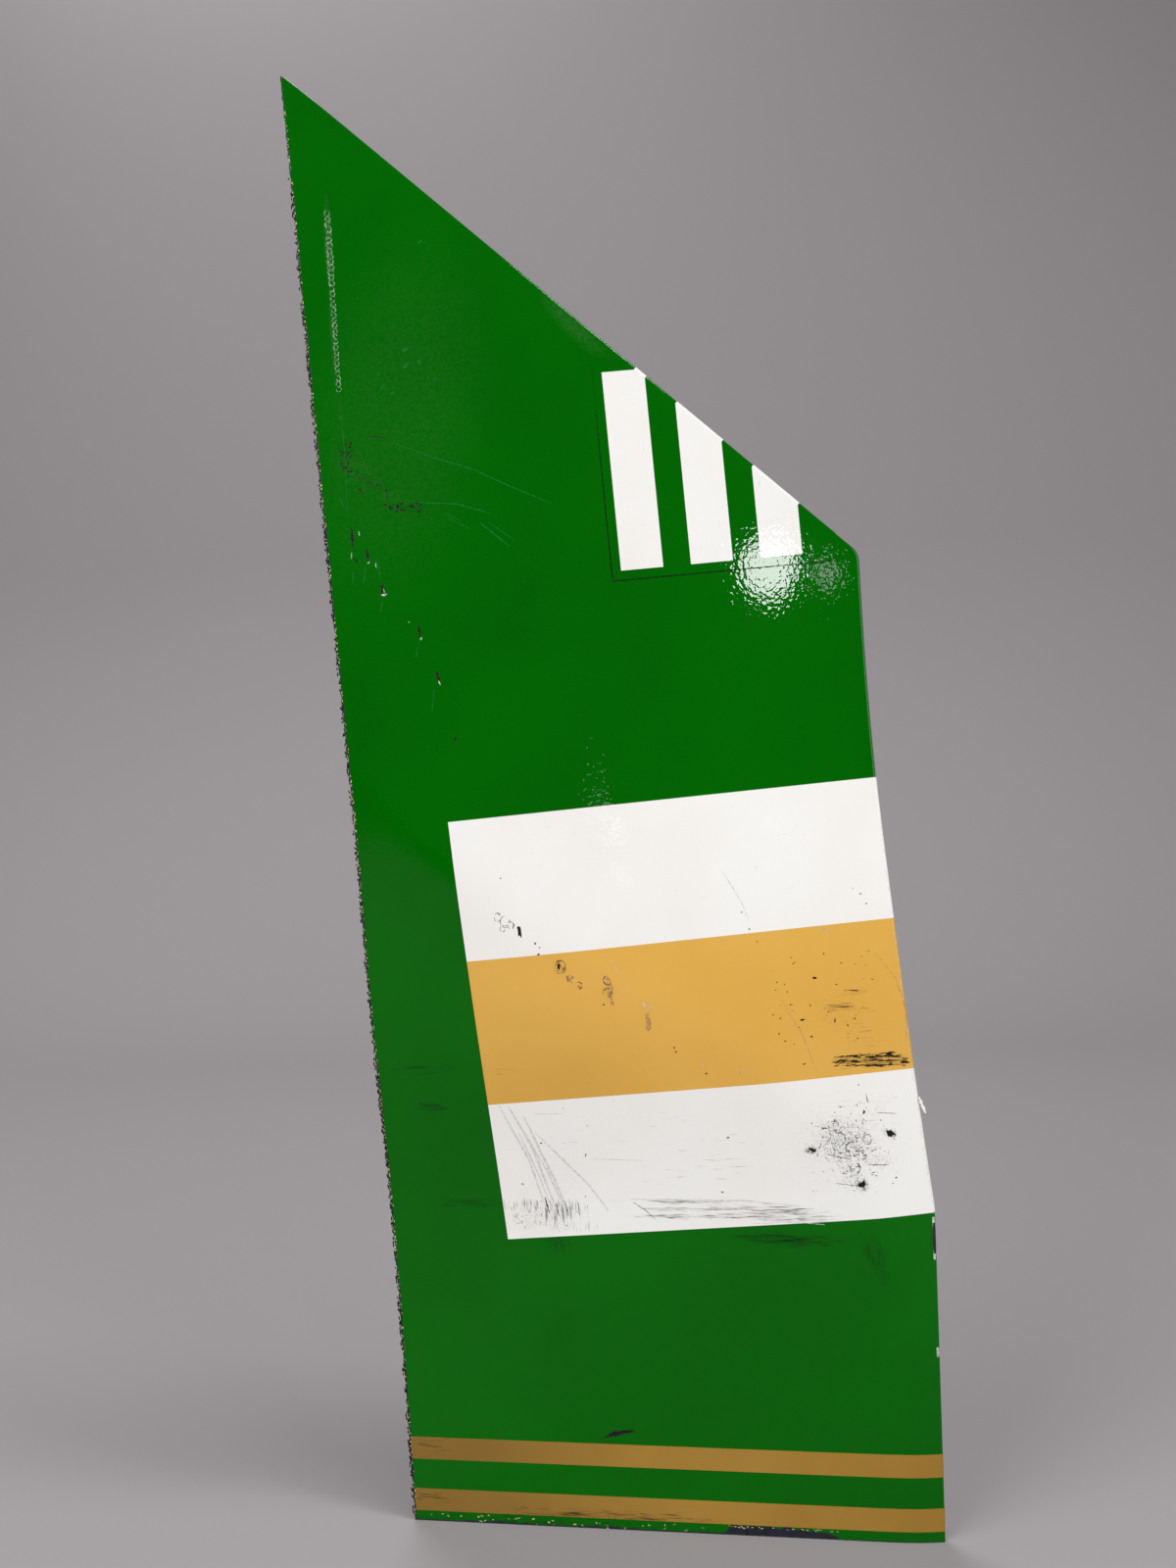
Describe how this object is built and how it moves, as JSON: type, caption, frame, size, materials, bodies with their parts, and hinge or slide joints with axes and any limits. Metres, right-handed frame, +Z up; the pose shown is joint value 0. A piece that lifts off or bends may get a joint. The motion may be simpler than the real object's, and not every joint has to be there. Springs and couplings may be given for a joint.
{
  "type": "bodywork panel offcut",
  "caption": "Sawn-off piece of thin film-wrapped composite bodywork, gently curved, with a slanting top edge, tilted bands, thin stripes along the foot and slanting decal bars.",
  "frame": {"origin": "under the middle of the panel's bounding box, at the level of its bottom edge", "axes": "+Z up along the panel's height, +X to the right as seen from the decorated front, the front faces -Y"},
  "size_m": [0.2182, 0.0194, 0.5277],
  "materials": {
    "laminate": "dull dark fibre laminate",
    "dark_paint": "dark navy paint",
    "green_film": "gloss vinyl film with slight orange peel",
    "white_film": "gloss vinyl film",
    "gold_film": "gloss vinyl film",
    "dark_gold_film": "gloss vinyl film"
  },
  "bodies": {
    "root": {"inner_ply": "laminate", "middle_ply": "laminate", "outer_ply": "laminate", "dark_paint_coat": "dark_paint", "green_wrap_film": "green_film", "upper_white_band": "white_film", "gold_band": "gold_film", "lower_white_band": "white_film", "upper_pinstripe": "dark_gold_film", "lower_pinstripe": "dark_gold_film", "decal_backing": "green_film", "decal_long_bar": "white_film", "decal_middle_bar": "white_film", "decal_short_bar": "white_film"}
  },
  "joints": []
}
